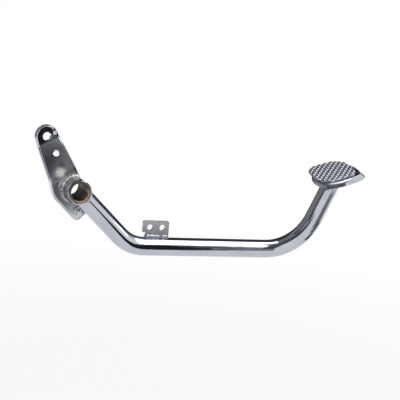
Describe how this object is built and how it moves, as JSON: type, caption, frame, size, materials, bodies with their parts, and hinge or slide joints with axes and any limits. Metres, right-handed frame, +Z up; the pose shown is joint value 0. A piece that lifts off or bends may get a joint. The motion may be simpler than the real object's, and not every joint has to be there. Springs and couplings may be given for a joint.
{
  "type": "brake pedal",
  "caption": "Chromed motorbike rear brake pedal: a bent tube lever on a bushed pivot, with a brake rod arm, a switch tab and a knurled foot pad.",
  "frame": {"origin": "middle of the pivot bore", "axes": "+X forward along the lever's straight run, +Y along the pivot axis towards the machine, +Z up"},
  "size_m": [0.3002, 0.043, 0.1054],
  "materials": {
    "lever_chrome": "polished",
    "pivot_chrome": "polished",
    "bush_bronze": "machined",
    "arm_chrome": "polished over a stamped surface",
    "tab_chrome": "satin",
    "cup_chrome": "polished",
    "tread_chrome": "knurled",
    "weld_chrome": "rippled"
  },
  "bodies": {
    "root": {"lever_tube": "lever_chrome", "pivot_tube": "pivot_chrome", "pivot_bush": "bush_bronze", "brake_rod_arm": "arm_chrome", "switch_tab": "tab_chrome", "pad_cup": "cup_chrome", "tread_plate": "tread_chrome", "weld_lever_pivot": "weld_chrome", "weld_arm_front": "weld_chrome", "weld_arm_back": "weld_chrome", "weld_tab": "weld_chrome", "weld_pad": "weld_chrome"}
  },
  "joints": []
}
